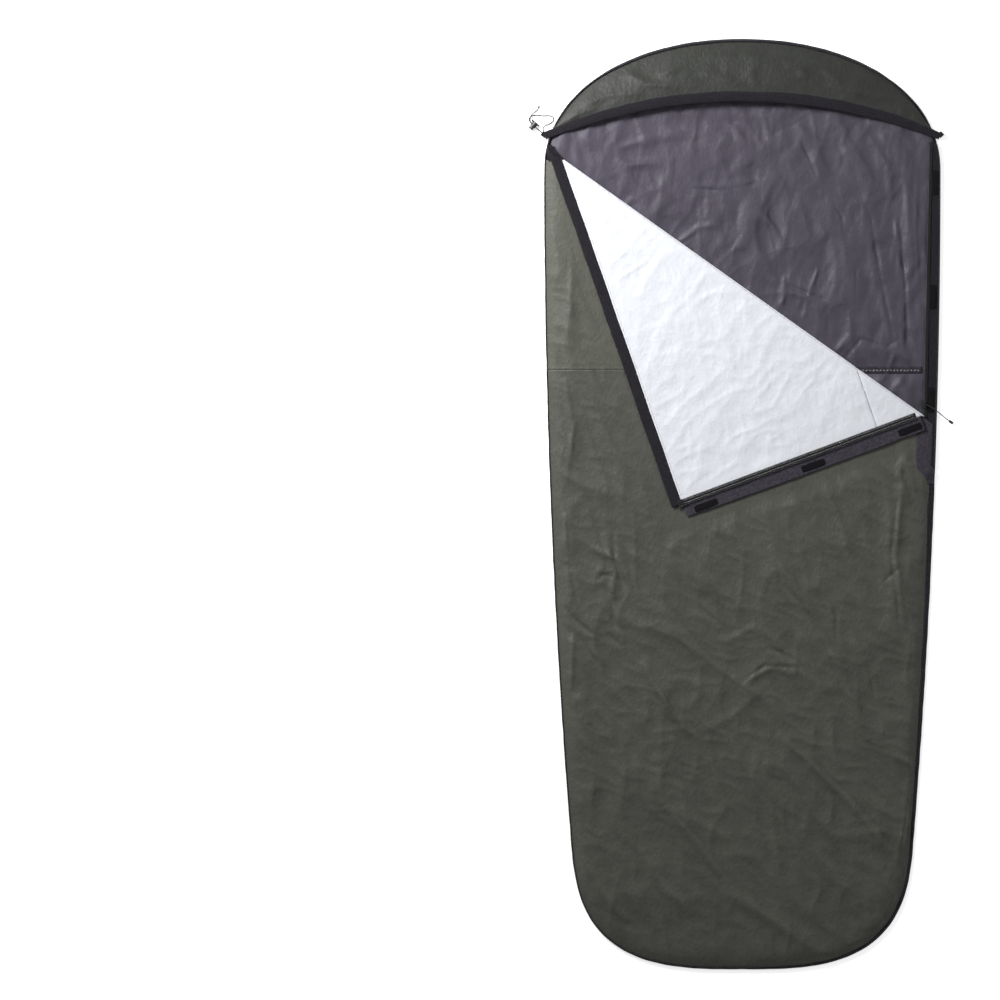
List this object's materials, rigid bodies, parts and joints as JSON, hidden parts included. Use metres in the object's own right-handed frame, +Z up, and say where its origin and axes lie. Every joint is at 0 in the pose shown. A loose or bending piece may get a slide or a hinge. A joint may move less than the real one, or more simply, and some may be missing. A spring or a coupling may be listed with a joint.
{
  "type": "bivy sack",
  "caption": "Flat waterproof sleeping-bag cover with a drawcord hood and a side zip; its top corner folds back to open the mouth.",
  "frame": {"origin": "middle of the sack's length and width, on the ground", "axes": "+Y along the sack to the hood, +Z up from the ground, +X to the right seen from above"},
  "size_m": [1.0056, 2.2, 0.0402],
  "materials": {
    "ground_cloth": "coated ripstop, soft sheen",
    "shell_cloth_upper": "laminated taffeta, soft sheen",
    "shell_cloth_lower": "laminated taffeta, soft sheen",
    "trim_cloth": "plain woven, matt",
    "seam_tape": "welded tape, smooth",
    "zip_tape": "woven tape, matt",
    "zip_coil": "nylon coil",
    "zip_metal": "black enamel",
    "touch_fastener": "hooks and loops, matt",
    "cord": "braided elastic",
    "moulded_plastic": "moulded, satin",
    "spring_steel": "drawn wire"
  },
  "bodies": {
    "root": {"base_upper_panel": "ground_cloth", "base_lower_panel": "ground_cloth", "top_upper_panel": "shell_cloth_upper", "hood_panel_front": "shell_cloth_upper", "hood_panel_back": "shell_cloth_upper", "hood_panel_left": "shell_cloth_upper", "hood_panel_right": "shell_cloth_upper", "top_lower_panel": "shell_cloth_lower", "left_binding": "trim_cloth", "right_binding": "trim_cloth", "foot_binding": "trim_cloth", "zip_side_binding": "trim_cloth", "hood_binding": "trim_cloth", "top_hem_end": "trim_cloth", "zip_facing": "trim_cloth", "storm_flap_lower": "trim_cloth", "hood_hem_left": "trim_cloth", "hood_hem_middle": "trim_cloth", "hood_hem_right": "trim_cloth", "corner_tab_left": "trim_cloth", "corner_tab_right": "trim_cloth", "base_seam_tape": "seam_tape", "top_seam_tape": "seam_tape", "zip_tape_base": "zip_tape", "zip_tape_lower": "zip_tape", "zip_teeth_base": "zip_coil", "zip_teeth_lower": "zip_coil", "zip_bottom_stop": "zip_metal", "zip_top_stop_base": "zip_metal", "loop_patches": "touch_fastener", "hood_drawcord": "cord", "drawcord_tail": "cord", "drawcord_knot": "cord", "drawcord_loop": "cord"},
    "flap": {"flap_panel": "shell_cloth_upper", "flap_lower_panel": "shell_cloth_lower", "flap_mouth_hem": "trim_cloth", "flap_seam_tape": "seam_tape", "zip_tape_flap": "zip_tape", "zip_teeth_flap": "zip_coil", "zip_top_stop_flap": "zip_metal", "storm_flap": "trim_cloth", "hook_patches": "touch_fastener"},
    "slider": {"zip_slider": "zip_metal"},
    "pull": {"pull_ring": "zip_metal", "pull_cord": "cord", "pull_bead": "moulded_plastic"},
    "lock": {"cord_lock_barrel": "moulded_plastic", "cord_lock_spring": "spring_steel"},
    "button": {"cord_lock_button": "moulded_plastic"}
  },
  "joints": [
    {"name": "flap_fold", "type": "hinge", "parent": "root", "child": "flap", "pos_m": [0.42736, 0.20597, 0.018], "axis": [-0.8151, 0.5794, 0], "range_deg": [0, 180]},
    {"name": "zip_travel", "type": "slide", "parent": "root", "child": "slider", "axis": [0.0213, 0.9998, 0], "range_m": [0, 0.6005]},
    {"name": "pull_swing", "type": "hinge", "parent": "slider", "child": "pull", "pos_m": [0.428, 0.23597, 0.0204], "axis": [-0.0213, -0.9998, 0], "range_deg": [0, 100]},
    {"name": "lock_slide", "type": "slide", "parent": "root", "child": "lock", "axis": [0.7539, -0.6569, 0], "range_m": [0, 0.006]},
    {"name": "button_press", "type": "slide", "parent": "lock", "child": "button", "axis": [0.6569, 0.7539, 0], "range_m": [0, 0.003], "stiffness_N_per_m": 400, "springref_m": -0.002}
  ],
  "couplings": [
    {"joint": "zip_travel", "follows": "flap_fold", "m_per_rad": 0.19099}
  ]
}
